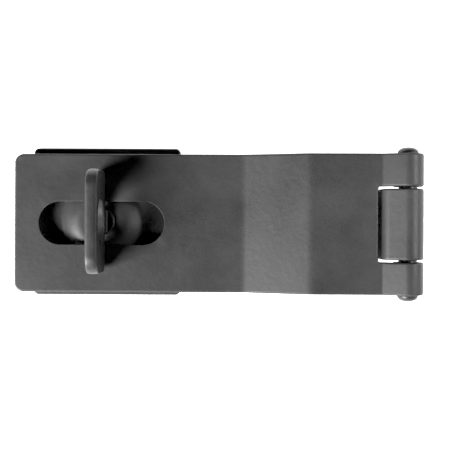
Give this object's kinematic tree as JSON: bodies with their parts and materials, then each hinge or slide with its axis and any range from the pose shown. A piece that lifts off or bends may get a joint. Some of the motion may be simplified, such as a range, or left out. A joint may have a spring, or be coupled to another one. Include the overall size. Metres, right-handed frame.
{
  "type": "hasp and staple",
  "caption": "Black steel safety hasp: a long slotted strap hinged on a fixed leaf, closed over a square staple plate with a swivel eye turned across the slot for a padlock.",
  "frame": {"origin": "centre of the object's box on the mounting face, z = 0", "axes": "+X along the strap towards the hinge, +Y across the strap, +Z out of the mounting face towards the padlock eye"},
  "size_m": [0.1142, 0.0428, 0.0205],
  "materials": {
    "black_sheet": "satin black powder coat over pressed sheet steel, finely mottled",
    "black_pin": "satin black coat over a steel pin with peened, domed heads",
    "black_casting": "satin black coat over a forged steel eye with softly rounded edges"
  },
  "bodies": {
    "fixed_side": {"fixed_leaf": "black_sheet", "staple_plate": "black_sheet"},
    "hasp_strap": {"strap": "black_sheet", "hinge_pin": "black_pin"},
    "swivel_staple": {"swivel_eye": "black_casting", "backing_washer": "black_pin"}
  },
  "joints": [
    {"name": "strap_hinge", "type": "hinge", "parent": "fixed_side", "child": "hasp_strap", "pos_m": [0.05289, 0, 0.01], "axis": [0, 1, 0], "range_deg": [0, 186]},
    {"name": "eye_swivel", "type": "hinge", "parent": "fixed_side", "child": "swivel_staple", "pos_m": [-0.033, 0.0004, 0], "axis": [0, 0, 1], "continuous": true}
  ]
}
